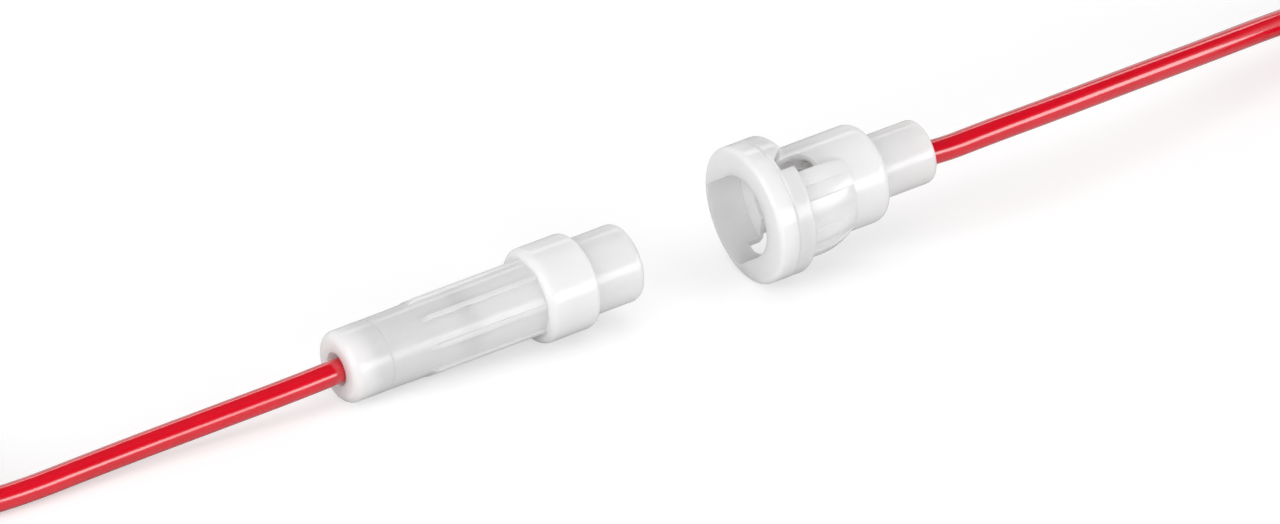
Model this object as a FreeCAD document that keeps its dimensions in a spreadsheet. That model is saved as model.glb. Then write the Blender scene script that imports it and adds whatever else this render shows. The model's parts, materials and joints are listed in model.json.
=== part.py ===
"""Inline fuse holder: a plug half and a socket half, each on its own red lead, shown apart.

The plug carries a 5 x 20 mm cartridge fuse in its bore. Its nose goes into the mouth of the
socket, a lug on the nose passes the slot in the mouth, and a quarter turn locks it behind the
ledge. Inside, a sprung contact in the plug presses the fuse on the contact in the socket.

Frame: millimetres, +Z up, X along the holder from plug to socket, origin on the surface the
holder lies on, midway along the two halves. The halves share one axis, which leans a little,
because the holder lies on the rim of the socket and on the wire end of the plug.
"""
import FreeCAD, Part
import math
import os

import Sketcher
from FreeCAD import Placement, Rotation, Vector

FULL_TURN = 360
ARC_SHARE = 0.45

SIZES = [
    # The whole holder
    ("gap", 12.0, "nose tip to socket mouth with the halves apart"),
    ("face_gap", 0.1, "collar to rim when closed"),
    ("face_clock", 145.5, "clock angle of the marked side, from +Y towards +Z"),
    ("run_clearance", 0.05, "between flat faces that turn on each other"),
    # Plug housing, measured from its wire end
    ("plug_length", 29.3, "wire end to nose tip"),
    ("barrel_end_radius", 3.24, "barrel radius at the wire end"),
    ("barrel_collar_radius", 3.42, "barrel radius at the collar"),
    ("barrel_round", 0.8, "rounding of the wire end"),
    ("step_place", 3.7, "fine ring line from the wire end"),
    ("step_depth", 0.06, "depth of the ring line"),
    ("step_width", 0.25, "width of the ring line"),
    ("rib_count", 8, "grip ribs on the barrel"),
    ("rib_start", 7.6, "start of the ribs"),
    ("rib_ramp", 0.8, "ramp at the start of a rib"),
    ("rib_radius", 3.58, "radius over the ribs"),
    ("rib_width", 0.42, "width of a rib"),
    ("rib_offset", 22.5, "first rib from the marked side, degrees"),
    ("collar_length", 5.1, "collar length"),
    ("collar_radius", 4.31, "collar radius"),
    ("collar_round", 0.7, "rounding of the collar's two shoulders"),
    ("nose_length", 5.0, "collar to nose tip"),
    ("nose_radius", 3.5, "nose radius"),
    ("nose_round", 0.75, "rounding of the nose tip"),
    ("fuse_bore", 2.7, "bore radius for a fuse 5.2 mm across"),
    ("seat_depth", 0.2, "depth of the groove that the contact's head rests in"),
    ("seat_margin", 0.3, "that groove past the head on each side"),
    ("plug_wall", 2.4, "end wall at the wire end"),
    ("wire_hole", 1.5, "wire hole radius in the plug's end wall"),
    ("lug_thickness", 0.9, "lug thickness along the axis"),
    ("lug_play", 0.36, "lug to the wall of the chamber it turns in"),
    ("lug_half_width", 3.3, "half the width of the lug"),
    ("lug_clearance", 0.19, "lug to ledge when closed"),
    # Socket housing, measured from its mouth
    ("ring_radius", 6.23, "rim radius"),
    ("ring_length", 3.75, "rim length"),
    ("ring_front_round", 0.4, "rounding of the rim's front edge"),
    ("ring_rear_round", 0.55, "rounding of the rim's rear edge"),
    ("groove_place", 1.75, "fine groove round the rim, from the mouth"),
    ("groove_width", 0.3, "width of the fine groove"),
    ("groove_depth", 0.12, "depth of the fine groove"),
    ("mouth_bore", 3.73, "bore radius for the nose"),
    ("bore_depth", 7.9, "depth of the nose bore"),
    ("ledge", 2.16, "thickness of the ledge at the mouth"),
    ("rim_wall", 0.57, "wall outside the lug slot and the chamber behind the ledge"),
    ("chamber_length", 1.19, "length of the chamber the lug turns in"),
    ("contact_bore", 2.65, "bore radius for the socket contact"),
    ("contact_bore_end", 11.6, "floor of the contact bore"),
    ("tail_bore", 1.5, "bore radius for the crimp tail"),
    ("tail_bore_end", 15.0, "where the wider wire outlet starts"),
    ("outlet_bore", 2.0, "wire outlet radius"),
    ("body_radius", 4.46, "body radius"),
    ("body_end", 12.7, "mouth to the end of the body"),
    ("body_round", 1.1, "rounding of the body's end"),
    ("neck_radius", 2.9, "neck radius"),
    ("socket_length", 18.3, "mouth to neck end"),
    ("neck_round", 0.6, "rounding of the neck end"),
    ("grip_radius", 5.42, "radius over the grip ribs"),
    ("grip_groove", 0.3, "depth of the grooves between the grip ribs"),
    ("grip_straight", 5.4, "where the grip starts to fall, from the mouth"),
    ("grip_end", 8.9, "where the grip meets the body"),
    ("grip_pitch", 30, "pitch of the grip ribs, degrees"),
    ("grip_rib_angle", 15, "width of a grip rib, degrees"),
    ("front_grip_count", 4, "ribs of the grip on the marked side"),
    ("front_grip_clock", 32, "middle of that grip from the marked side, degrees"),
    ("rear_grip_count", 3, "ribs of the grip on the other side"),
    ("rear_grip_clock", 16.5, "middle of that grip from the opposite side, degrees"),
    ("window_clock", 40.5, "window direction from the marked side, degrees"),
    ("window_end", 6.42, "rear end of a window, from the mouth"),
    ("window_base", 1.77, "window's straight side from its middle line"),
    ("window_shoulder", 0.61, "front corner below the middle line"),
    ("window_crown", 0.88, "top of the arch above the middle line"),
    ("window_arch", 1.42, "radius of the arch's rear corner"),
    # Contacts and spring
    ("contact_face", 12.5, "face of the plug contact from the wire end"),
    ("contact_head", 1.0, "head thickness"),
    ("contact_head_radius", 2.55, "head radius"),
    ("crimp_radius", 1.35, "crimp barrel radius"),
    ("crimp_bore", 0.8, "crimp barrel bore"),
    ("crimp_depth", 4.8, "depth of a crimp bore"),
    ("contact_travel", 3.0, "how far the plug contact can be pushed back"),
    ("spring_radius", 2.05, "mean radius of the spring"),
    ("spring_wire", 0.25, "radius of the spring's wire"),
    ("spring_turns", 6, "turns of the spring"),
    ("spring_sides", 6, "flat sides that stand for the round wire"),
    ("spring_seat", 0.05, "spring to its seats"),
    ("socket_face", 6.6, "face of the socket contact from the mouth"),
    ("socket_head_radius", 2.5, "radius of the socket contact"),
    ("dish_radius", 2.1, "radius of the dish in the socket contact"),
    ("dish_depth", 0.45, "depth of the dish"),
    ("contact_chamfer", 0.2, "edge chamfer of the contacts"),
    ("tail_end", 14.9, "end of the socket contact's crimp tail"),
    # Leads
    ("lead_radius", 1.1, "lead radius over its insulation"),
    ("strand_radius", 0.65, "radius of the bare lead end"),
    ("strand_length", 6.0, "length of the bare lead end"),
    ("fold_radius", 6.6, "radius of a hank's folds, to the middle of the lead"),
    ("hank_run", 21.0, "straight part of each run of a hank"),
    ("hank_layers", 2, "turns of a hank, one on the other"),
    ("tip_room", 0.5, "space past the bare end"),
    ("tie_thickness", 0.25, "thickness of the tie round a hank"),
    ("tie_width", 3.0, "width of the tie"),
    ("tie_clearance", 0.1, "tie to hank"),
]

SOCKET_LEAD_ROUTE = [
    (26.62, 0.0, 7.29),
    (30.6, 0.05, 6.82),
    (38.5, 0.8, 6.76),
    (49.5, 2.9, 6.06),
    (64.0, 6.4, 4.48),
    (73.2, 8.3, 2.75),
    (80.5, 8.9, 1.45),
]
PLUG_LEAD_ROUTE = [
    (-24.43, 0.0, 3.56),
    (-31.5, 0.0, 2.95),
    (-41.5, 0.05, 2.22),
    (-52.5, -0.1, 1.5),
    (-63.6, -0.8, 1.15),
    (-72.0, -0.9, 1.45),
]
SOCKET_HEADING = 0
PLUG_HEADING = 180

doc = FreeCAD.newDocument("inline_fuse_holder")
sheet = doc.addObject("Spreadsheet::Sheet", "Sizes")


class Size:
    """A number that knows both its value and its formula in the sheet."""

    def __init__(self, value, formula):
        self.value = value
        self.formula = formula

    def __add__(self, other):
        other = as_size(other)
        return Size(self.value + other.value, f"({self.formula} + {other.formula})")

    def __radd__(self, other):
        return as_size(other) + self

    def __sub__(self, other):
        other = as_size(other)
        return Size(self.value - other.value, f"({self.formula} - {other.formula})")

    def __rsub__(self, other):
        return as_size(other) - self

    def __mul__(self, other):
        other = as_size(other)
        return Size(self.value * other.value, f"({self.formula} * {other.formula})")

    def __rmul__(self, other):
        return as_size(other) * self

    def __truediv__(self, other):
        other = as_size(other)
        return Size(self.value / other.value, f"({self.formula} / {other.formula})")

    def __rtruediv__(self, other):
        return as_size(other) / self

    def __neg__(self):
        return Size(-self.value, f"(0 - {self.formula})")


def as_size(number):
    if isinstance(number, Size):
        return number
    return Size(float(number), f"({number})")


def root(size):
    return Size(math.sqrt(size.value), f"sqrt({size.formula})")


def sine(angle):
    return Size(math.sin(math.radians(angle.value)), f"sin({angle.formula})")


def cosine(angle):
    return Size(math.cos(math.radians(angle.value)), f"cos({angle.formula})")


def arc_sine(ratio):
    value = math.degrees(math.asin(ratio.value))
    return Size(value, f"(asin({ratio.formula}) / 1 deg)")


def arc_tangent(ratio):
    value = math.degrees(math.atan(ratio.value))
    return Size(value, f"(atan({ratio.formula}) / 1 deg)")


class Sizes:
    """The sheet's cells by name."""


s = Sizes()
for row, (alias, number, note) in enumerate(SIZES, start=1):
    sheet.set(f"A{row}", note)
    sheet.set(f"B{row}", str(number))
    sheet.setAlias(f"B{row}", alias)
    setattr(s, alias, Size(float(number), f"Sizes.{alias}"))
doc.recompute()

# Places that follow from the sizes
collar_start = s.plug_length - s.nose_length - s.collar_length
collar_end = s.plug_length - s.nose_length
lug_start = collar_end + s.face_gap + s.ledge + s.lug_clearance
chamber_end = s.ledge + s.chamber_length
lug_clock = s.face_clock + 180
chamber_radius = s.ring_radius - s.rim_wall
lug_radius = chamber_radius - s.lug_play
crimp_start = s.plug_wall + s.contact_travel + s.run_clearance
seat_start = s.contact_face - s.contact_head - s.seat_margin
seat_end = s.contact_face + s.seat_margin
plug_start = s.gap + s.plug_length
hank_height = s.lead_radius * 2 * s.hank_layers
hank_lift = s.tie_thickness + s.tie_clearance

# Lean of the common axis: it rests on the rim's front edge and the barrel's wire end
rest_run = plug_start - s.barrel_round + s.ring_front_round
rest_rise = (s.ring_radius - s.ring_front_round) - (s.barrel_end_radius - s.barrel_round)
rest_reach = root(rest_run * rest_run + rest_rise * rest_rise)
lean = arc_tangent(rest_rise / rest_run) + arc_sine(
    (s.ring_front_round - s.barrel_round) / rest_reach
)
axis_height = (
    s.ring_front_round
    + (s.ring_radius - s.ring_front_round) * cosine(lean)
    - s.ring_front_round * sine(lean)
)
left_reach = (
    (plug_start - s.barrel_round) * cosine(lean)
    + (s.barrel_end_radius - s.barrel_round) * sine(lean)
    + s.barrel_round
)
right_reach = (
    (s.socket_length - s.neck_round) * cosine(lean)
    + (s.neck_radius - s.neck_round) * sine(lean)
    + s.neck_round
)
mouth_place = (left_reach - right_reach) / 2


def bind(thing, name, size):
    """Sets a property and ties it to the sheet."""
    thing.setExpression(name, as_size(size).formula)


def put_on_axis(thing, start):
    """Lays a sub-part on the leaning axis, its own X zero at `start` from the socket's mouth."""
    start = as_size(start)
    thing.Placement = Placement(Vector(0, 0, 0), Rotation(Vector(0, -1, 0), lean.value))
    bind(thing, "Placement.Base.x", mouth_place + start * cosine(lean))
    bind(thing, "Placement.Base.z", axis_height + start * sine(lean))
    bind(thing, "Placement.Rotation.Angle", lean)


def new_body(label):
    body = doc.addObject("PartDesign::Body", label)
    body.Label = label
    return body


def plane(body, role):
    for feature in body.Origin.OriginFeatures:
        if feature.Role == role:
            return feature
    raise ValueError(role)


def new_sketch(body, name, role, turn=None):
    """A sketch on one of the body's own planes, turned about X (or the plane's normal) by `turn`."""
    sketch = body.newObject("Sketcher::SketchObject", name)
    sketch.AttachmentSupport = [(plane(body, role), "")]
    sketch.MapMode = "FlatFace"
    if turn is not None:
        axis = Vector(0, 0, 1) if role == "YZ_Plane" else Vector(1, 0, 0)
        sketch.AttachmentOffset = Placement(Vector(0, 0, 0), Rotation(axis, 1))
        bind(sketch, "AttachmentOffset.Rotation.Angle", turn)
    return sketch


def fix_point(sketch, line, end, point):
    """Fixes one end of a line or arc at a point given by two sizes."""
    for kind, size in (("DistanceX", point[0]), ("DistanceY", point[1])):
        size = as_size(size)
        place = sketch.addConstraint(Sketcher.Constraint(kind, -1, 1, line, end, size.value))
        sketch.setExpression(f"Constraints[{place}]", size.formula)


def flat(point):
    return Vector(as_size(point[0]).value, as_size(point[1]).value, 0)


def draw_lines(sketch, corners):
    """Straight edges from corner to corner, left open at the ends."""
    for first, last in zip(corners, corners[1:]):
        line = sketch.addGeometry(Part.LineSegment(flat(first), flat(last)))
        fix_point(sketch, line, 1, first)
        fix_point(sketch, line, 2, last)


def unit(start, end):
    """The axis direction that an outline's edge follows, as two whole numbers."""
    along = flat(end) - flat(start)
    if abs(along.x) > abs(along.y):
        return (int(math.copysign(1, along.x)), 0)
    return (0, int(math.copysign(1, along.y)))


def draw_outline(sketch, corners):
    """A closed outline. A corner is (x, y), or (x, y, radius) where two square edges are rounded."""
    count = len(corners)
    ends = []
    for k, corner in enumerate(corners):
        before = corners[k - 1]
        after = corners[(k + 1) % count]
        if len(corner) == 2:
            ends.append((corner, corner, None, None))
            continue
        x, y, radius = corner
        way_in = unit(before, corner)
        way_out = unit(corner, after)
        first = (x - radius * way_in[0], y - radius * way_in[1])
        last = (x + radius * way_out[0], y + radius * way_out[1])
        centre = (first[0] + radius * way_out[0], first[1] + radius * way_out[1])
        ends.append((first, last, centre, radius))
    for k in range(count):
        first, last, centre, radius = ends[k]
        if centre is not None:
            draw_arc(sketch, first, last, centre, radius)
        following = ends[(k + 1) % count][0]
        line = sketch.addGeometry(Part.LineSegment(flat(last), flat(following)))
        fix_point(sketch, line, 1, last)
        fix_point(sketch, line, 2, following)


def draw_arc(sketch, first, last, centre, radius):
    """An arc between two points, the shorter way round its centre."""
    middle = flat(centre)
    ray_in = flat(first) - middle
    ray_out = flat(last) - middle
    start = math.atan2(ray_in.y, ray_in.x)
    stop = math.atan2(ray_out.y, ray_out.x)
    forward = ray_in.x * ray_out.y - ray_in.y * ray_out.x > 0
    if not forward:
        start, stop = stop, start
        first, last = last, first
    circle = Part.Circle(middle, Vector(0, 0, 1), as_size(radius).value)
    arc = sketch.addGeometry(Part.ArcOfCircle(circle, start, stop))
    fix_point(sketch, arc, 1, first)
    fix_point(sketch, arc, 2, last)
    place = sketch.addConstraint(Sketcher.Constraint("Radius", arc, as_size(radius).value))
    sketch.setExpression(f"Constraints[{place}]", as_size(radius).formula)


def revolve(body, name, corners, angle=FULL_TURN, turn=None, cut=False, role="XY_Plane"):
    """Turns an outline of (x, radius) corners round the body's X axis."""
    sketch = new_sketch(body, name + "_outline", role, turn)
    draw_outline(sketch, corners)
    kind = "PartDesign::Groove" if cut else "PartDesign::Revolution"
    feature = body.newObject(kind, name)
    feature.Profile = sketch
    feature.ReferenceAxis = (sketch, ["H_Axis"])
    feature.Midplane = angle is not FULL_TURN
    bind(feature, "Angle", angle)
    return feature


def polar(body, name, feature, angle, count):
    pattern = body.newObject("PartDesign::PolarPattern", name)
    pattern.Originals = [feature]
    pattern.Axis = (plane(body, "X_Axis"), [""])
    bind(pattern, "Angle", angle)
    bind(pattern, "Occurrences", count)
    body.Tip = pattern
    return pattern


def make_plug_housing():
    """Ribbed barrel, collar and nose in one moulding, with its lug, bored for fuse and wire."""
    body = new_body("plug_housing")
    step_floor = s.barrel_end_radius - s.step_depth
    revolve(body, "barrel_and_nose", [
        (0, 0),
        (0, s.barrel_end_radius, s.barrel_round),
        (s.step_place, s.barrel_end_radius),
        (s.step_place + s.step_width / 2, step_floor),
        (s.step_place + s.step_width, s.barrel_end_radius),
        (collar_start, s.barrel_collar_radius),
        (collar_start, s.collar_radius, s.collar_round),
        (collar_end, s.collar_radius, s.collar_round),
        (collar_end, s.nose_radius),
        (s.plug_length, s.nose_radius, s.nose_round),
        (s.plug_length, 0),
    ])
    rib_sketch = new_sketch(body, "rib_outline", "XY_Plane", s.face_clock - s.rib_offset)
    draw_outline(rib_sketch, [
        (s.rib_start, s.fuse_bore),
        (s.rib_start, s.barrel_end_radius),
        (s.rib_start + s.rib_ramp, s.rib_radius),
        (collar_start + s.collar_round, s.rib_radius),
        (collar_start + s.collar_round, s.fuse_bore),
    ])
    rib = body.newObject("PartDesign::Pad", "rib")
    rib.Profile = rib_sketch
    rib.Midplane = True
    bind(rib, "Length", s.rib_width)
    polar(body, "ribs", rib, FULL_TURN, s.rib_count)
    lug_sketch = new_sketch(body, "lug_outline", "YZ_Plane", lug_clock)
    bind(lug_sketch, "AttachmentOffset.Base.z", lug_start)
    slot_outline(lug_sketch, s.lug_half_width, lug_radius)
    lug = body.newObject("PartDesign::Pad", "lug")
    lug.Profile = lug_sketch
    bind(lug, "Length", s.lug_thickness)
    revolve(body, "fuse_and_wire_bore", [
        (0, 0),
        (0, s.wire_hole),
        (s.plug_wall, s.wire_hole),
        (s.plug_wall, s.fuse_bore),
        (seat_start, s.fuse_bore),
        (seat_start, s.fuse_bore + s.seat_depth),
        (seat_end, s.fuse_bore + s.seat_depth),
        (seat_end, s.fuse_bore),
        (s.plug_length, s.fuse_bore),
        (s.plug_length, 0),
    ], cut=True)
    put_on_axis(body, -plug_start)
    return body


def slot_outline(sketch, half_width, radius):
    """From the axis to one side: two straight sides and an outer arc about the axis."""
    far = root(radius * radius - half_width * half_width)
    draw_lines(sketch, [(far, half_width), (0, half_width), (0, -half_width), (far, -half_width)])
    draw_arc(sketch, (far, -half_width), (far, half_width), (0, 0), radius)


def make_grip(body, name, middle, count):
    """One fluted grip: a floor sector with raised ribs on it."""
    width = (count - 1) * s.grip_pitch + s.grip_rib_angle
    draw_grip(body, name + "_floor", s.grip_radius - s.grip_groove, middle, width)
    first = middle - (count - 1) * s.grip_pitch / 2
    rib = draw_grip(body, name + "_rib", s.grip_radius, first, s.grip_rib_angle)
    polar(body, name + "_ribs", rib, (count - 1) * s.grip_pitch, count)


def draw_grip(body, name, top, middle, width):
    """A sector about the axis whose outer side falls in one arc to the body's surface."""
    foot = s.contact_bore
    start = s.ring_length - s.ring_rear_round
    fall = s.grip_end - s.grip_straight
    drop = top - s.body_radius
    radius = (fall * fall + drop * drop) / (drop * 2)
    sketch = new_sketch(body, name + "_outline", "XY_Plane", middle)
    corners = [
        (s.grip_end, s.body_radius),
        (s.grip_end, foot),
        (start, foot),
        (start, top),
        (s.grip_straight, top),
    ]
    draw_lines(sketch, corners)
    draw_arc(sketch, corners[-1], corners[0], (s.grip_straight, top - radius), radius)
    sector = body.newObject("PartDesign::Revolution", name)
    sector.Profile = sketch
    sector.ReferenceAxis = (sketch, ["H_Axis"])
    sector.Midplane = True
    bind(sector, "Angle", width)
    return sector


def make_window(body, name, direction):
    """An arched window through the wall on one side, straight along its lower side."""
    sketch = new_sketch(body, name + "_outline", "XY_Plane", direction - 90)
    arch_start = s.window_end - s.window_arch
    rise = s.window_crown + s.window_shoulder
    reach = arch_start - s.ledge
    sweep = (reach * reach + rise * rise) / (rise * 2)
    arch_side = s.window_crown - s.window_arch
    crown = (arch_start, s.window_crown)
    corners = [
        (s.window_end, arch_side),
        (s.window_end, -s.window_base),
        (s.ledge, -s.window_base),
        (s.ledge, -s.window_shoulder),
    ]
    draw_lines(sketch, corners)
    draw_arc(sketch, corners[-1], crown, (arch_start, s.window_crown - sweep), sweep)
    draw_arc(sketch, crown, corners[0], (arch_start, arch_side), s.window_arch)
    window = body.newObject("PartDesign::Pocket", name)
    window.Profile = sketch
    window.Reversed = True
    bind(window, "Length", s.ring_radius + s.ring_rear_round)
    body.Tip = window


def make_socket_housing():
    """Rim, fluted grips, body and neck in one moulding, with the mouth, slot and windows."""
    body = new_body("socket_housing")
    revolve(body, "rim_body_and_neck", [
        (0, 0),
        (0, s.ring_radius, s.ring_front_round),
        (s.groove_place, s.ring_radius),
        (s.groove_place + s.groove_width / 2, s.ring_radius - s.groove_depth),
        (s.groove_place + s.groove_width, s.ring_radius),
        (s.ring_length, s.ring_radius, s.ring_rear_round),
        (s.ring_length, s.body_radius),
        (s.body_end, s.body_radius, s.body_round),
        (s.body_end, s.neck_radius),
        (s.socket_length, s.neck_radius, s.neck_round),
        (s.socket_length, 0),
    ])
    make_grip(body, "front_grip", s.face_clock + s.front_grip_clock, s.front_grip_count)
    rear_middle = s.face_clock + 180 + s.rear_grip_clock
    make_grip(body, "rear_grip", rear_middle, s.rear_grip_count)
    revolve(body, "stepped_bore", [
        (0, 0),
        (0, s.mouth_bore),
        (s.ledge, s.mouth_bore),
        (s.ledge, chamber_radius),
        (chamber_end, chamber_radius),
        (chamber_end, s.mouth_bore),
        (s.bore_depth, s.mouth_bore),
        (s.bore_depth, s.contact_bore),
        (s.contact_bore_end, s.contact_bore),
        (s.contact_bore_end, s.tail_bore),
        (s.tail_bore_end, s.tail_bore),
        (s.tail_bore_end, s.outlet_bore),
        (s.socket_length, s.outlet_bore),
        (s.socket_length, 0),
    ], cut=True)
    slot_sketch = new_sketch(body, "slot_outline", "YZ_Plane", lug_clock)
    slot_outline(slot_sketch, s.mouth_bore, chamber_radius)
    slot = body.newObject("PartDesign::Pocket", "slot")
    slot.Profile = slot_sketch
    slot.Reversed = True
    bind(slot, "Length", s.ledge + s.chamber_length / 2)
    make_window(body, "upper_window", s.face_clock - s.window_clock)
    make_window(body, "lower_window", s.face_clock - s.window_clock + 180)
    put_on_axis(body, 0)
    return body


def make_plug_contact():
    """Turned contact: a flat head for the fuse cap and a crimp barrel on the lead."""
    body = new_body("plug_contact")
    back = s.contact_face - s.contact_head
    revolve(body, "head_and_crimp", [
        (crimp_start + s.crimp_depth, 0),
        (crimp_start + s.crimp_depth, s.crimp_bore),
        (crimp_start, s.crimp_bore),
        (crimp_start, s.crimp_radius),
        (back, s.crimp_radius),
        (back, s.contact_head_radius),
        (s.contact_face - s.contact_chamfer, s.contact_head_radius),
        (s.contact_face, s.contact_head_radius - s.contact_chamfer),
        (s.contact_face, 0),
    ])
    put_on_axis(body, -plug_start)
    return body


def make_contact_spring():
    """Compression spring between the plug's end wall and the head of its contact."""
    body = new_body("contact_spring")
    first = s.plug_wall + s.spring_seat + s.spring_wire
    last = s.contact_face - s.contact_head - s.spring_seat - s.spring_wire
    sketch = new_sketch(body, "spring_wire", "XY_Plane")
    corners = []
    for side in range(int(s.spring_sides.value)):
        around = side * FULL_TURN / s.spring_sides
        across = s.spring_wire * cosine(around)
        corners.append((first + across, s.spring_radius + s.spring_wire * sine(around)))
    draw_outline(sketch, corners)
    helix = body.newObject("PartDesign::AdditiveHelix", "coils")
    helix.Profile = sketch
    helix.ReferenceAxis = (sketch, ["H_Axis"])
    helix.Mode = "height-turns-angle"
    bind(helix, "Height", last - first)
    bind(helix, "Turns", s.spring_turns)
    put_on_axis(body, -plug_start)
    return body


def make_socket_contact():
    """Turned contact: a dished head that seats in the socket and a crimp tail on the lead."""
    body = new_body("socket_contact")
    seat = s.contact_bore_end - s.run_clearance
    revolve(body, "head_and_tail", [
        (s.tail_end - s.crimp_depth / 2, 0),
        (s.tail_end - s.crimp_depth / 2, s.crimp_bore),
        (s.tail_end, s.crimp_bore),
        (s.tail_end, s.crimp_radius),
        (seat, s.crimp_radius),
        (seat, s.socket_head_radius),
        (s.socket_face + s.contact_chamfer, s.socket_head_radius),
        (s.socket_face, s.socket_head_radius - s.contact_chamfer),
        (s.socket_face, s.dish_radius),
        (s.socket_face + s.dish_depth, s.dish_radius - s.contact_chamfer),
        (s.socket_face + s.dish_depth, 0),
    ])
    put_on_axis(body, 0)
    return body


def rounded_path(route):
    """Straight runs joined by tangent arcs, each as large as its two runs allow."""
    points = [Vector(*point) for point in route]
    edges = []
    start = points[0]
    radii = []
    for before, corner, after in zip(points, points[1:], points[2:]):
        way_in = (corner - before).normalize()
        way_out = (after - corner).normalize()
        turn = way_in.getAngle(way_out)
        shorter = min((corner - before).Length, (after - corner).Length)
        trim = ARC_SHARE * shorter
        radius = trim / math.tan(turn / 2)
        radii.append(round(radius, 1))
        first = corner - way_in * trim
        last = corner + way_out * trim
        inward = (way_out - way_in).normalize()
        middle = corner + inward * (radius / math.cos(turn / 2) - radius)
        edges.append(Part.makeLine(start, first))
        edges.append(Part.Arc(first, middle, last).toShape())
        start = last
    edges.append(Part.makeLine(start, points[-1]))
    return Part.Wire(edges), radii


def make_lead(label, route):
    """The lead's stretch from its crimp to its hank, a round tube on the chosen route."""
    path, radii = rounded_path(route)
    start = Vector(*route[0])
    along = Vector(*route[1]) - start
    radius = s.lead_radius.value
    ring = Part.Wire(Part.makeCircle(radius, start, along))
    tube = path.makePipeShell([ring], True, False)
    expected = math.pi * radius * radius * path.Length
    print(label, "length", round(path.Length, 2), "radii", radii, "volume ratio",
          round(tube.Volume / expected, 5))
    lead = doc.addObject("Part::Feature", label)
    lead.Label = label
    lead.Shape = tube
    return lead


def make_hank(label, place):
    """The put-away length: two long turns, one on the other, with room for the bare end on top."""
    body = new_body(label)
    sketch = new_sketch(body, label + "_outline", "XY_Plane")
    bind(sketch, "AttachmentOffset.Base.z", hank_lift)
    draw_racetrack(sketch, s.fold_radius + s.lead_radius)
    draw_racetrack(sketch, s.fold_radius - s.lead_radius)
    turns = body.newObject("PartDesign::Pad", label + "_turns")
    turns.Profile = sketch
    bind(turns, "Length", hank_height)
    room = new_sketch(body, label + "_tip_room_outline", "XY_Plane")
    bind(room, "AttachmentOffset.Base.z", hank_lift + hank_height)
    near = s.lead_radius - s.fold_radius
    far = -s.fold_radius - s.fold_radius - s.lead_radius * 2
    draw_outline(room, [
        (-s.tip_room, far),
        (s.strand_length, far),
        (s.strand_length, near),
        (-s.tip_room, near),
    ])
    pocket = body.newObject("PartDesign::Pocket", label + "_tip_room")
    pocket.Profile = room
    bind(pocket, "Length", s.lead_radius * 2)
    body.Placement = place
    return body


def draw_racetrack(sketch, reach):
    """Two straight runs and two half-round folds, `reach` out from the folds' centres."""
    top = reach - s.fold_radius
    bottom = -reach - s.fold_radius
    draw_lines(sketch, [(0, top), (s.hank_run, top)])
    draw_lines(sketch, [(s.hank_run, bottom), (0, bottom)])
    for centre, end in ((s.hank_run, s.hank_run + reach), (0, -reach)):
        middle = (centre, -s.fold_radius)
        draw_arc(sketch, (centre, top), (end, -s.fold_radius), middle, reach)
        draw_arc(sketch, (end, -s.fold_radius), (centre, bottom), middle, reach)


def make_tie(label, place):
    """A band round both runs of a hank, at its middle."""
    body = new_body(label)
    side = s.lead_radius + s.tie_clearance
    other_side = -side - s.fold_radius * 2
    top = hank_lift + hank_height + s.tie_clearance
    sketch = new_sketch(body, label + "_section", "YZ_Plane")
    bind(sketch, "AttachmentOffset.Base.z", s.hank_run / 2)
    draw_outline(sketch, [
        (other_side - s.tie_thickness, 0),
        (side + s.tie_thickness, 0),
        (side + s.tie_thickness, top + s.tie_thickness),
        (other_side - s.tie_thickness, top + s.tie_thickness),
    ])
    draw_outline(sketch, [
        (other_side, s.tie_thickness),
        (side, s.tie_thickness),
        (side, top),
        (other_side, top),
    ])
    band = body.newObject("PartDesign::Pad", label + "_band")
    band.Profile = sketch
    band.Midplane = True
    bind(band, "Length", s.tie_width)
    body.Placement = place
    return body


def make_tip(label, place):
    """The bare, tinned end of a lead, on the hank's lower turn and in line with the upper one."""
    tip = doc.addObject("Part::Cylinder", label)
    tip.Label = label
    bind(tip, "Radius", s.strand_radius)
    bind(tip, "Height", s.strand_length)
    height = hank_lift + hank_height - s.lead_radius
    start = Vector(s.strand_length.value, -2 * s.fold_radius.value, height.value)
    tip.Placement = place * Placement(start, Rotation(Vector(0, 1, 0), -90))
    return tip


def make_lead_set(name, route, heading):
    """One lead: its run, and the hank, tie and bare end where the run stops."""
    end_x, end_y, _ = route[-1]
    place = Placement(Vector(end_x, end_y, 0), Rotation(Vector(0, 0, 1), heading))
    return [
        make_lead(f"{name}_lead", route),
        make_hank(f"{name}_lead_hank", place),
        make_tie(f"{name}_lead_tie", place),
        make_tip(f"{name}_lead_tip", place),
    ]


nodes = [
    make_plug_housing(),
    make_plug_contact(),
    make_contact_spring(),
    make_socket_housing(),
    make_socket_contact(),
]
nodes += make_lead_set("plug", PLUG_LEAD_ROUTE, PLUG_HEADING)
nodes += make_lead_set("socket", SOCKET_LEAD_ROUTE, SOCKET_HEADING)
doc.recompute()
for item in doc.Objects:
    if "Invalid" in item.State or "Error" in item.State:
        raise RuntimeError(f"{item.Label}: {item.State}")
os.makedirs("parts", exist_ok=True)
for node in nodes:
    if node.Shape.isNull() or not node.Shape.isValid():
        raise RuntimeError(f"{node.Label} has no valid shape")
    node.Shape.exportStep(f"parts/{node.Label}.step")
    box = node.Shape.BoundBox
    print(node.Label, node.Shape.ShapeType, len(node.Shape.Solids), round(node.Shape.Volume, 2), box)
print("lean", lean.value, "height", axis_height.value, "mouth", mouth_place.value)
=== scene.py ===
"""Looks of the inline fuse holder: its finishes, its two leads, a pale floor, light and camera."""
import json
import math

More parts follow.
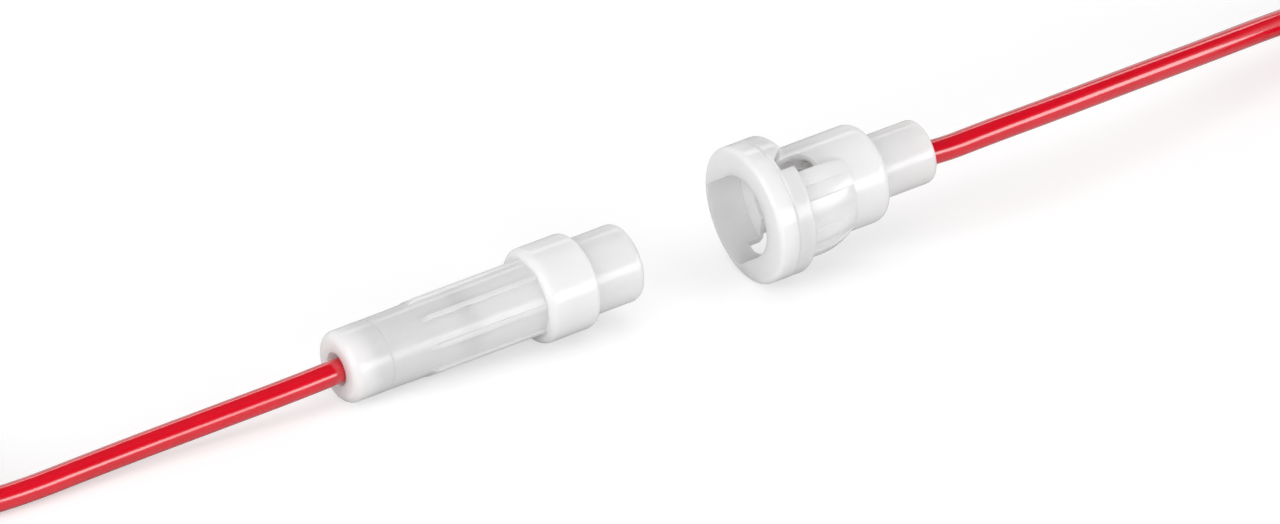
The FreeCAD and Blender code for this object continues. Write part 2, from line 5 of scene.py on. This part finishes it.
import bpy
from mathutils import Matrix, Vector


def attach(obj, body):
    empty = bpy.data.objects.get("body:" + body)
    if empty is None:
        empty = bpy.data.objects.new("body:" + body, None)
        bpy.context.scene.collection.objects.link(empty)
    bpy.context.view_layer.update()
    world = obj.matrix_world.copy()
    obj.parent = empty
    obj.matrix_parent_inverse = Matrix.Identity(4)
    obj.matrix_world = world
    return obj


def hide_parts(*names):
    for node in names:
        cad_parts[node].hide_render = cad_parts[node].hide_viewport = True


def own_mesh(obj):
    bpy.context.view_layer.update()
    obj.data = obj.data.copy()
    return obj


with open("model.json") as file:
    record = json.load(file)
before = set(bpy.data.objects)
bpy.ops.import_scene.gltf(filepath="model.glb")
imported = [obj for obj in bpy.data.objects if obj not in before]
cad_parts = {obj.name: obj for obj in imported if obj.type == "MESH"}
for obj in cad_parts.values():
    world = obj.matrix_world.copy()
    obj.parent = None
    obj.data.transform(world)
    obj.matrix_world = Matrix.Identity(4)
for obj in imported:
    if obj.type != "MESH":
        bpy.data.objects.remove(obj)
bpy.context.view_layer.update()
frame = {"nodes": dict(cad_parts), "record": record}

MM = 0.001
UP = Vector((0, 0, 1))

# Camera: the photograph's side of the holder, from a long way off
CAMERA_AZIMUTH = -32.43
CAMERA_ELEVATION = 28.05
CAMERA_TARGET = Vector((3.06, 3.3, 2.68)) * MM
VIEW_WIDTH = 110.2 * MM
LENS = 650
SENSOR = 36
CLIP_START_SHARE = 0.05
CLIP_END_SHARE = 20

# Leads, in millimetres: the routes lie near the solids' own
LEAD_RADIUS = 1.1
SOCKET_LEAD_ROUTE = [
    (26.62, 0.0, 7.2),
    (31.0, -0.13, 6.88),
    (36.5, 0.13, 7.19),
    (44.0, 1.07, 7.05),
    (54.0, 3.25, 6.35),
    (63.0, 5.4, 5.55),
    (70.0, 7.35, 4.8),
    (75.6, 9.1, 3.95),
    (80.5, 8.9, 1.45),
]
PLUG_LEAD_ROUTE = [
    (-24.43, 0.0, 3.56),
    (-31.5, -0.36, 2.95),
    (-41.5, -0.37, 2.22),
    (-52.5, -0.5, 1.5),
    (-64.0, -1.5, 1.13),
    (-72.0, -0.9, 1.45),
]
LEAD_SIDES = 8
LEAD_SMOOTHNESS = 10

# Hanks, in millimetres: each runs on from its route, along X or against it
SOCKET_HEADING = 1
PLUG_HEADING = -1
FOLD_RADIUS = 6.6
HANK_RUN = 21.0
FOLD_STEPS = 8
RUN_STEPS = 3
LAYER_RISE = 2.21
RISE_SHARE = 0.66

# Bare ends, in millimetres
BARE_LENGTH = 6.0
BARE_RADIUS = 0.65
STRANDS_AROUND = 6
STRAND_LAY = 8.0
STRAND_STEPS = 24
STRAND_SIDES = 3

# Floor, in metres, and backdrop: it fades upwards between two heights on the unit sphere
FLOOR_HALF = 3.0
FLOOR_GREY = 0.6
FLOOR_GLOW = 0.5
BACKDROP_STRENGTH = 0.8
CEILING_STRENGTH = 0.04
FADE_START = 0.2
FADE_END = 0.6


# Node helpers

class Material:
    """A node material with one main shader, and short calls to wire it."""

    def __init__(self, name):
        self.material = bpy.data.materials.new(name)
        self.material.use_nodes = True
        self.tree = self.material.node_tree
        self.shader = self.tree.nodes["Principled BSDF"]

    def set(self, **values):
        """Sets the main shader's plain values, with _ for the spaces in their names."""
        for name, value in values.items():
            self.shader.inputs[name.replace("_", " ")].default_value = value

    def node(self, kind, **values):
        """A new node with these inputs or settings."""
        made = self.tree.nodes.new(kind)
        for name, value in values.items():
            if name in made.inputs:
                made.inputs[name].default_value = value
            else:
                setattr(made, name, value)
        return made

    def link(self, source, target):
        self.tree.links.new(source, target)

    def feed(self, source, name):
        """Links a node's output to the main shader's input of that name."""
        self.link(source, self.shader.inputs[name])

    def place(self):
        """Object coordinates, which stay with the piece in every pose."""
        return self.node("ShaderNodeTexCoord").outputs["Object"]

    def noise(self, scale, detail=3.0):
        """Cloudy noise from 0 to 1."""
        noise = self.node("ShaderNodeTexNoise", Scale=scale, Detail=detail)
        self.link(self.place(), noise.inputs["Vector"])
        return noise.outputs["Fac"]

    def between(self, factor, low, high):
        """A value from low to high as the factor goes from 0 to 1."""
        ramp = self.node("ShaderNodeMapRange")
        ramp.inputs["To Min"].default_value = low
        ramp.inputs["To Max"].default_value = high
        self.link(factor, ramp.inputs["Value"])
        return ramp.outputs["Result"]

    def colours(self, factor, first, second):
        """A colour ramp between two (place, colour) stops."""
        ramp = self.node("ShaderNodeValToRGB")
        for element, (place, colour) in zip(ramp.color_ramp.elements, (first, second)):
            element.position = place
            element.color = (*colour, 1)
        self.link(factor, ramp.inputs["Fac"])
        return ramp.outputs["Color"]

    def bump(self, height, distance, strength=0.5, base=None):
        """A bumped normal, on top of the base normal if there is one."""
        bump = self.node("ShaderNodeBump", Strength=strength, Distance=distance)
        self.link(height, bump.inputs["Height"])
        if base is not None:
            self.link(base, bump.inputs["Normal"])
        return bump.outputs["Normal"]


# Materials

def housing_plastic():
    """Natural, slightly see-through moulded plastic: satin, with a faint flow mottle."""
    made = Material("natural_plastic")
    made.set(Subsurface_Weight=0.75, Subsurface_Radius=(1.0, 1.0, 1.0), Subsurface_Scale=0.003,
             IOR=1.5, Specular_IOR_Level=0.3, Coat_Weight=0.6, Coat_Roughness=0.1)
    flow = made.noise(scale=150, detail=2.0)
    colour = made.colours(flow, (0.35, (0.85, 0.838, 0.842)), (0.7, (0.89, 0.88, 0.883)))
    made.feed(colour, "Base Color")
    made.feed(made.between(made.noise(scale=420), low=0.24, high=0.38), "Roughness")
    fine = made.bump(made.noise(scale=2600, detail=2.0), distance=0.00001)
    wavy = made.bump(made.noise(scale=260, detail=1.0), distance=0.00006, base=fine)
    made.feed(wavy, "Normal")
    return made.material


def lead_plastic():
    """Glossy red insulation."""
    made = Material("red_insulation")
    made.set(Subsurface_Weight=0.08, Subsurface_Radius=(1.0, 0.2, 0.2), Subsurface_Scale=0.0006,
             IOR=1.45, Specular_IOR_Level=0.2, Coat_Weight=1.0, Coat_Roughness=0.09, Coat_IOR=1.72)
    patches = made.noise(scale=300, detail=2.0)
    colour = made.colours(patches, (0.3, (0.68, 0.001, 0.014)), (0.75, (0.75, 0.002, 0.019)))
    made.feed(colour, "Base Color")
    made.feed(made.between(made.noise(scale=900), low=0.2, high=0.3), "Roughness")
    fine = made.bump(made.noise(scale=1800, detail=2.0), distance=0.000008, strength=0.4)
    made.feed(fine, "Normal")
    return made.material


def turned_metal(name, light, dark, ring_scale, roughness):
    """Plated, turned metal: fine tool rings along the axis and a slight stain."""
    made = Material(name)
    made.set(Metallic=1.0)
    made.feed(made.colours(made.noise(scale=700), (0.3, dark), (0.7, light)), "Base Color")
    polish = made.between(made.noise(scale=1500), low=roughness - 0.08, high=roughness + 0.08)
    made.feed(polish, "Roughness")
    rings = made.node("ShaderNodeTexWave", Scale=ring_scale, Distortion=0.6)
    made.link(made.place(), rings.inputs["Vector"])
    made.feed(made.bump(rings.outputs["Fac"], distance=0.00001), "Normal")
    return made.material


def nickel_plate():
    light = (0.88, 0.87, 0.85)
    dark = (0.78, 0.77, 0.74)
    return turned_metal("nickel_plate", light, dark, ring_scale=900, roughness=0.42)


def spring_steel():
    light = (0.66, 0.66, 0.67)
    dark = (0.5, 0.5, 0.51)
    return turned_metal("spring_steel", light, dark, ring_scale=500, roughness=0.28)


def tinned_strand():
    light = (0.72, 0.72, 0.71)
    dark = (0.55, 0.55, 0.55)
    return turned_metal("tinned_strand", light, dark, ring_scale=400, roughness=0.28)


def tie_plastic():
    """Matt black plastic with a fine cross grain."""
    made = Material("tie_plastic")
    made.set(IOR=1.48)
    patches = made.noise(scale=900)
    colour = made.colours(patches, (0.3, (0.018, 0.018, 0.02)), (0.8, (0.035, 0.035, 0.038)))
    made.feed(colour, "Base Color")
    made.feed(made.between(made.noise(scale=1500), low=0.45, high=0.62), "Roughness")
    grain = made.bump(made.noise(scale=4000, detail=2.0), distance=0.00002, strength=0.6)
    made.feed(grain, "Normal")
    return made.material


# Leads

def eased(share):
    """0 to 1 with a flat start and end."""
    share = min(1.0, max(0.0, share))
    return share * share * (3 - 2 * share)


def fold_points(centre, way, low, high):
    """A half-round fold about a point on the hank's middle line, climbing from low to high."""
    points = []
    for k in range(1, FOLD_STEPS + 1):
        turn = math.pi * k / FOLD_STEPS
        x = centre + way * FOLD_RADIUS * math.sin(turn)
        y = -FOLD_RADIUS + way * FOLD_RADIUS * math.cos(turn)
        points.append((x, y, low + (high - low) * eased(k / FOLD_STEPS / RISE_SHARE)))
    return points


def hank_points(route_end, heading, bare_from):
    """Two long turns, one on the other, clockwise from above, from the route's end to the bare end.

    The first turn climbs on to itself in its second fold, so the next lies on it all the way.
    """
    points = []
    for layer in (0, 1):
        for k in range(1, RUN_STEPS + 1):
            points.append((HANK_RUN * k / RUN_STEPS, 0, layer))
        points += fold_points(HANK_RUN, 1, layer, layer)
        if layer == 0:
            for k in range(1, RUN_STEPS + 1):
                points.append((HANK_RUN * (1 - k / RUN_STEPS), -2 * FOLD_RADIUS, layer))
            points += fold_points(0, -1, layer, layer + 1)
    end = Vector(route_end)
    along = Vector((heading, 0, 0))
    across = Vector((0, heading, 0))
    rise = UP * LAYER_RISE
    return [end + along * x + across * y + rise * z for x, y, z in points] + [bare_from]


def curve_piece(name, material, radius, sides):
    """An empty round curve of that radius, in millimetres."""
    curve = bpy.data.curves.new(name, "CURVE")
    curve.dimensions = "3D"
    curve.bevel_depth = radius * MM
    curve.bevel_resolution = sides
    curve.use_fill_caps = True
    curve.materials.append(material)
    piece = bpy.data.objects.new(name, curve)
    bpy.context.scene.collection.objects.link(piece)
    return piece


def make_cord(name, material, points):
    """The insulated lead, on one smooth spline."""
    cord = curve_piece(name, material, LEAD_RADIUS, LEAD_SIDES)
    spline = cord.data.splines.new("NURBS")
    spline.points.add(len(points) - 1)
    for knot, point in zip(spline.points, points):
        knot.co = (*(point * MM), 1)
    spline.order_u = 3
    spline.use_endpoint_u = True
    spline.resolution_u = LEAD_SMOOTHNESS
    return cord


def make_strands(name, material, start, along):
    """The bare end: six tinned strands laid round a seventh."""
    single = BARE_RADIUS / 3
    strands = curve_piece(name, material, single, STRAND_SIDES)
    side = along.cross(UP)
    up = side.cross(along)
    for k in range(STRANDS_AROUND + 1):
        spline = strands.data.splines.new("POLY")
        spline.points.add(STRAND_STEPS)
        reach = 0 if k == STRANDS_AROUND else 2 * single
        for n, knot in enumerate(spline.points):
            run = BARE_LENGTH * n / STRAND_STEPS
            angle = math.tau * (k / STRANDS_AROUND + run / STRAND_LAY)
            offset = side * (reach * math.cos(angle)) + up * (reach * math.sin(angle))
            knot.co = (*((start + along * run + offset) * MM), 1)
    return strands


def find_mount(name):
    """The record's mount of that name."""
    return next(mount for mount in frame["record"]["mounts"] if mount["name"] == name)


def make_lead(half, route, heading, red, tinned):
    """One lead: its free run, its hank and its bare end, in place of the plain solids."""
    end = find_mount(half + "_lead_end")
    along = Vector(end["axis"])
    bare_from = Vector(end["pos_m"]) / MM - along * BARE_LENGTH
    points = [Vector(p) for p in route] + hank_points(route[-1], heading, bare_from)
    cord = make_cord(half + "_lead_cord", red, points)
    strands = make_strands(half + "_lead_strands", tinned, bare_from, along)
    body = half + "_wiring"
    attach(cord, body)
    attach(strands, body)
    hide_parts(half + "_lead", half + "_lead_hank")
    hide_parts(half + "_lead_tip")
    return cord, strands


def cord_length(cord):
    """The length of a lead's centreline, in metres."""
    bare = cord.data.copy()
    bare.bevel_depth = 0
    holder = bpy.data.objects.new("centreline", bare)
    mesh = bpy.data.meshes.new_from_object(holder)
    places = [v.co for v in mesh.vertices]
    total = sum((b - a).length for a, b in zip(places, places[1:]))
    bpy.data.objects.remove(holder)
    bpy.data.meshes.remove(mesh)
    bpy.data.curves.remove(bare)
    return total


def declare_cord(cord):
    """Measures the length of the lead's centreline, and leaves the length unused."""
    cord_length(cord)


def dress(material, *nodes):
    """Gives these CAD nodes one finish."""
    for node in nodes:
        finishes = frame["nodes"][node].data.materials
        finishes.clear()
        finishes.append(material)


def make_leads():
    """Both leads, and the finishes of the solids that they stand for."""
    red = lead_plastic()
    tinned = tinned_strand()
    tie = tie_plastic()
    for half, route, heading in (
        ("plug", PLUG_LEAD_ROUTE, PLUG_HEADING),
        ("socket", SOCKET_LEAD_ROUTE, SOCKET_HEADING),
    ):
        cord, strands = make_lead(half, route, heading, red, tinned)
        dress(red, half + "_lead", half + "_lead_hank")
        dress(tinned, half + "_lead_tip")
        dress(tie, half + "_lead_tie")
        declare_cord(cord)


# Housings, contacts and spring

def dress_halves():
    dress(housing_plastic(), "plug_housing", "socket_housing")
    dress(nickel_plate(), "plug_contact", "socket_contact")
    dress(spring_steel(), "contact_spring")


def squeeze_spring():
    """Gives the spring a mesh of its own."""
    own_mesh(frame["nodes"]["contact_spring"])


# Camera, light and floor

def look_along(azimuth, elevation):
    """The unit direction from the object towards a point at that azimuth and elevation."""
    a = math.radians(azimuth)
    e = math.radians(elevation)
    return Vector((math.sin(a) * math.cos(e), -math.cos(a) * math.cos(e), math.sin(e)))


def aim(thing, azimuth, elevation, distance):
    """Puts a camera or lamp at that distance from the target and turns it to face it."""
    back = look_along(azimuth, elevation)
    thing.location = CAMERA_TARGET + back * distance
    thing.rotation_mode = "QUATERNION"
    thing.rotation_quaternion = (-back).to_track_quat("-Z", "Y")


def make_camera():
    """A very long lens, because the photograph shows almost no perspective."""
    data = bpy.data.cameras.new("camera")
    data.lens = LENS
    data.sensor_width = SENSOR
    camera = bpy.data.objects.new("camera", data)
    bpy.context.scene.collection.objects.link(camera)
    distance = VIEW_WIDTH * LENS / SENSOR
    aim(camera, CAMERA_AZIMUTH, CAMERA_ELEVATION, distance)
    data.clip_start = distance * CLIP_START_SHARE
    data.clip_end = distance * CLIP_END_SHARE
    bpy.context.scene.camera = camera


def make_light(name, azimuth, elevation, distance, width, height, radiance, mirrored=True):
    """A rectangular lamp that faces the object; its power follows from how bright it looks."""
    data = bpy.data.lights.new(name, "AREA")
    data.shape = "RECTANGLE"
    data.size = width
    data.size_y = height
    data.energy = radiance * math.pi * width * height
    lamp = bpy.data.objects.new(name, data)
    lamp.visible_glossy = mirrored
    lamp.visible_camera = False
    bpy.context.scene.collection.objects.link(lamp)
    aim(lamp, azimuth, elevation, distance)


def make_lights():
    """Two boxes and a strip for the highlights, and two fills that no surface mirrors."""
    make_light("front_box", azimuth=44, elevation=8, distance=0.6,
               width=0.5, height=0.26, radiance=4.1)
    make_light("side_box", azimuth=-76, elevation=22, distance=0.6,
               width=0.45, height=0.4, radiance=2.9)
    make_light("back_strip", azimuth=155, elevation=38, distance=0.7,
               width=0.9, height=0.12, radiance=2.4)
    make_light("top_fill", azimuth=0, elevation=85, distance=0.8,
               width=1.0, height=1.0, radiance=1.2, mirrored=False)
    make_light("near_fill", azimuth=-35, elevation=5, distance=0.6,
               width=0.6, height=0.6, radiance=1.1, mirrored=False)


def make_world():
    """A pale backdrop round the horizon under a dark ceiling, and white to the camera."""
    world = bpy.data.worlds.new("studio")
    bpy.context.scene.world = world
    world.use_nodes = True
    tree = world.node_tree
    nodes = tree.nodes
    background = nodes["Background"]
    place = nodes.new("ShaderNodeTexCoord")
    split = nodes.new("ShaderNodeSeparateXYZ")
    tree.links.new(place.outputs["Generated"], split.inputs["Vector"])
    fade = nodes.new("ShaderNodeMapRange")
    fade.interpolation_type = "SMOOTHSTEP"
    fade.inputs["From Min"].default_value = FADE_START
    fade.inputs["From Max"].default_value = FADE_END
    fade.inputs["To Min"].default_value = BACKDROP_STRENGTH
    fade.inputs["To Max"].default_value = CEILING_STRENGTH
    tree.links.new(split.outputs["Z"], fade.inputs["Value"])
    path = nodes.new("ShaderNodeLightPath")
    choose = nodes.new("ShaderNodeMix")
    tree.links.new(path.outputs["Is Camera Ray"], choose.inputs["Factor"])
    tree.links.new(fade.outputs["Result"], choose.inputs["A"])
    choose.inputs["B"].default_value = 1.0
    tree.links.new(choose.outputs["Result"], background.inputs["Strength"])
    background.inputs["Color"].default_value = (1, 1, 1, 1)


def floor_material():
    """Matt grey that glows to near white for the camera alone."""
    made = Material("floor")
    made.set(Roughness=0.9, Specular_IOR_Level=0.1, Base_Color=(FLOOR_GREY, FLOOR_GREY, FLOOR_GREY, 1))
    glow = made.node("ShaderNodeEmission", Strength=FLOOR_GLOW)
    path = made.node("ShaderNodeLightPath")
    total = made.node("ShaderNodeAddShader")
    shown = made.node("ShaderNodeMixShader")
    out = made.tree.nodes["Material Output"]
    made.link(made.shader.outputs["BSDF"], total.inputs[0])
    made.link(glow.outputs["Emission"], total.inputs[1])
    made.link(path.outputs["Is Camera Ray"], shown.inputs["Fac"])
    made.link(made.shader.outputs["BSDF"], shown.inputs[1])
    made.link(total.outputs["Shader"], shown.inputs[2])
    made.link(shown.outputs["Shader"], out.inputs["Surface"])
    return made.material


def make_floor():
    """A wide pale floor that keeps the holder's shadow."""
    half = FLOOR_HALF
    mesh = bpy.data.meshes.new("floor")
    corners = [(-half, -half, 0), (half, -half, 0), (half, half, 0), (-half, half, 0)]
    mesh.from_pydata(corners, [], [(0, 1, 2, 3)])
    floor = bpy.data.objects.new("floor", mesh)
    bpy.context.scene.collection.objects.link(floor)
    floor.data.materials.append(floor_material())


make_camera()
make_leads()
dress_halves()
squeeze_spring()
make_floor()
make_world()
make_lights()
bpy.context.scene.view_settings.view_transform = "Standard"
